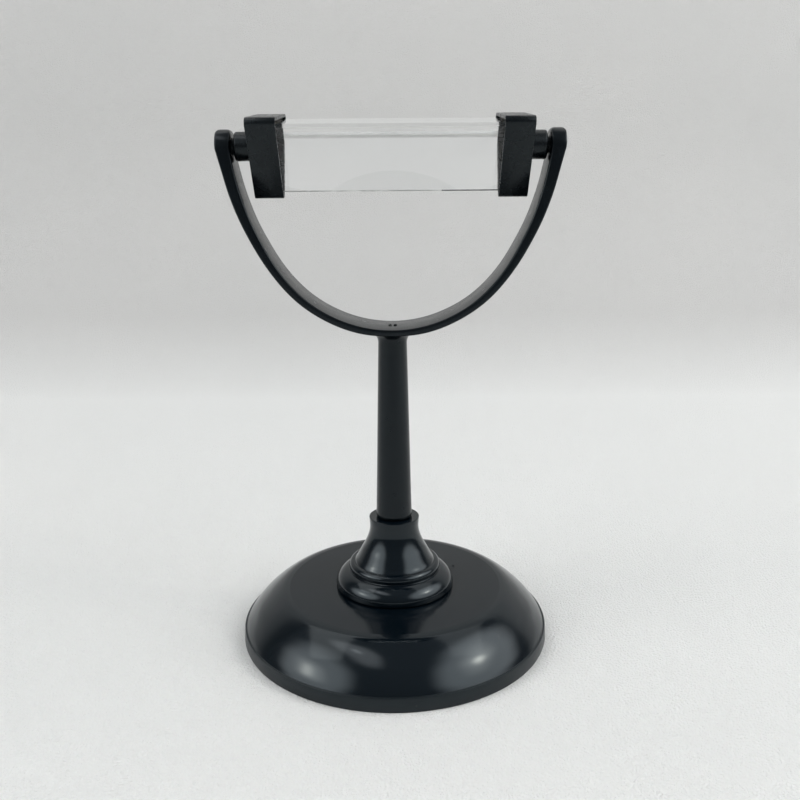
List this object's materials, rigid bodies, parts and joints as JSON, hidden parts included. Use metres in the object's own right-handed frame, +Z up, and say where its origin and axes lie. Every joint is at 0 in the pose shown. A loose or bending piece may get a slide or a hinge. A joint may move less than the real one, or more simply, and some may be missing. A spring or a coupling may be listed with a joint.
{
  "type": "dispersing prism on a stand",
  "caption": "Triangular glass prism tilting between end holders in a U-shaped yoke, on a tapered stem that swivels in a bell-shaped collar on a round domed base.",
  "frame": {"origin": "on the floor under the middle of the round base, in line with the stem", "axes": "+Z up along the stem; +X along the prism and its tilt axis; -Y is the side the prism's near face and the viewer are on"},
  "size_m": [0.1016, 0.1, 0.1657],
  "materials": {
    "base_plastic": "black moulded plastic, polished shoulder, flatter top and rim",
    "collar_plastic": "black moulded plastic, high gloss",
    "yoke_plastic": "black moulded plastic, satin, slightly mottled",
    "holder_plastic": "black moulded plastic, matte",
    "prism_glass": "clear optical glass, polished faces, ground bevels",
    "packing_felt": "thin dark felt strip",
    "ballast_iron": "plain iron, dull",
    "screw_steel": "zinc-plated steel"
  },
  "bodies": {
    "base": {"base_shell": "base_plastic", "collar": "collar_plastic", "ballast_ring": "ballast_iron", "ballast_screw_1": "screw_steel", "ballast_screw_2": "screw_steel", "ballast_screw_3": "screw_steel", "collar_screw_1": "screw_steel", "collar_screw_2": "screw_steel", "collar_screw_3": "screw_steel"},
    "yoke": {"stem_yoke": "yoke_plastic", "stem_washer": "screw_steel", "stem_screw": "screw_steel"},
    "prism": {"holder_left": "holder_plastic", "holder_right": "holder_plastic", "packing_left": "packing_felt", "packing_right": "packing_felt", "glass_prism": "prism_glass"}
  },
  "joints": [
    {"name": "yoke_swivel", "type": "hinge", "parent": "base", "child": "yoke", "pos_m": [0, 0, 0.04], "axis": [0, 0, 1], "continuous": true},
    {"name": "prism_tilt", "type": "hinge", "parent": "yoke", "child": "prism", "pos_m": [0, 0, 0.15615], "axis": [1, 0, 0], "continuous": true}
  ]
}
